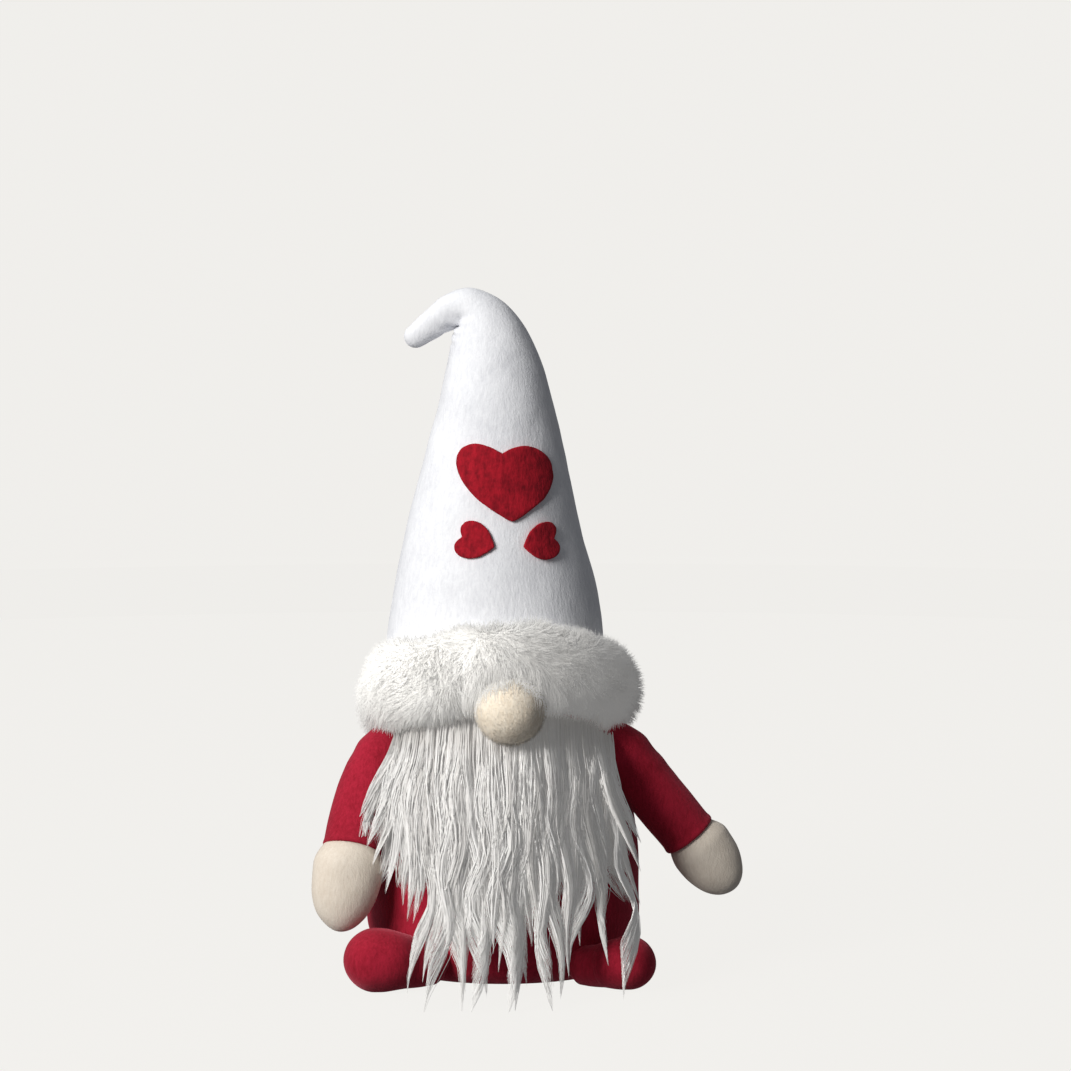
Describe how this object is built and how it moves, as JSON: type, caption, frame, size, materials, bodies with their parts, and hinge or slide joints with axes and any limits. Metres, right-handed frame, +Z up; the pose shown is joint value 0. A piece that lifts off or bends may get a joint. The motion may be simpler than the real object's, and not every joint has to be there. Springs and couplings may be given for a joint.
{
  "type": "tomte gnome figurine",
  "caption": "Stuffed fabric gnome with a tall felt hat folded over at its tip, a plush brim, a long fur beard, a round nose, stuffed arms with mitts, and round feet.",
  "frame": {"origin": "on the floor, at the middle of the flat base", "axes": "+Z up, the gnome faces -Y, its own right side is -X"},
  "size_m": [0.1888, 0.1435, 0.2998],
  "materials": {
    "red_fleece": "matte",
    "white_felt": "matte",
    "plush_pile": "matte",
    "long_fur": "matte",
    "knit_backing": "matte",
    "mitt_felt": "matte",
    "nose_felt": "matte",
    "heart_felt": "matte",
    "fibre_fill": "matte",
    "cotton_pouch": "matte",
    "card": "matte",
    "pellets": "matte"
  },
  "bodies": {
    "torso": {"body_cover": "red_fleece", "base_panel": "red_fleece", "base_card": "card", "weight_bag": "cotton_pouch", "weight_pellets": "pellets", "body_stuffing": "fibre_fill", "hat_cover": "white_felt", "hat_stuffing": "fibre_fill", "nose_ball": "nose_felt", "nose_button": "nose_felt", "brim_backing": "knit_backing", "brim_pile": "plush_pile", "heart_large": "heart_felt", "heart_small_right": "heart_felt", "heart_small_left": "heart_felt", "right_foot_cover": "red_fleece", "right_foot_stuffing": "fibre_fill", "left_foot_cover": "red_fleece", "left_foot_stuffing": "fibre_fill"},
    "hat_tip": {"hat_tip_cover": "white_felt", "hat_tip_stuffing": "fibre_fill"},
    "beard": {"beard_backing": "knit_backing", "beard_pile": "long_fur"},
    "right_shoulder": {"right_shoulder_tab": "red_fleece"},
    "right_arm": {"right_sleeve": "red_fleece", "right_arm_stuffing": "fibre_fill", "right_hand_cover": "mitt_felt", "right_hand_stuffing": "fibre_fill"},
    "left_shoulder": {"left_shoulder_tab": "red_fleece"},
    "left_arm": {"left_sleeve": "red_fleece", "left_arm_stuffing": "fibre_fill", "left_hand_cover": "mitt_felt", "left_hand_stuffing": "fibre_fill"}
  },
  "joints": [
    {"name": "right_arm_swing", "type": "hinge", "parent": "torso", "child": "right_shoulder", "pos_m": [-0.0435, -0.008, 0.1015], "axis": [-1, 0, 0], "range_deg": [0, 36]},
    {"name": "right_arm_raise", "type": "hinge", "parent": "right_shoulder", "child": "right_arm", "pos_m": [-0.0435, -0.008, 0.1015], "axis": [0, 1, 0], "range_deg": [0, 30]},
    {"name": "left_arm_swing", "type": "hinge", "parent": "torso", "child": "left_shoulder", "pos_m": [0.0435, -0.008, 0.1015], "axis": [-1, 0, 0], "range_deg": [-20, 40]},
    {"name": "left_arm_raise", "type": "hinge", "parent": "left_shoulder", "child": "left_arm", "pos_m": [0.0435, -0.008, 0.1015], "axis": [0, -1, 0], "range_deg": [-8, 20]},
    {"name": "beard_lift", "type": "hinge", "parent": "torso", "child": "beard", "pos_m": [0, -0.03, 0.112], "axis": [-1, 0, 0], "range_deg": [0, 30]},
    {"name": "hat_tip_unfold", "type": "hinge", "parent": "torso", "child": "hat_tip", "pos_m": [-0.018, 0, 0.2914], "axis": [0, 1, 0], "range_deg": [0, 90]}
  ]
}
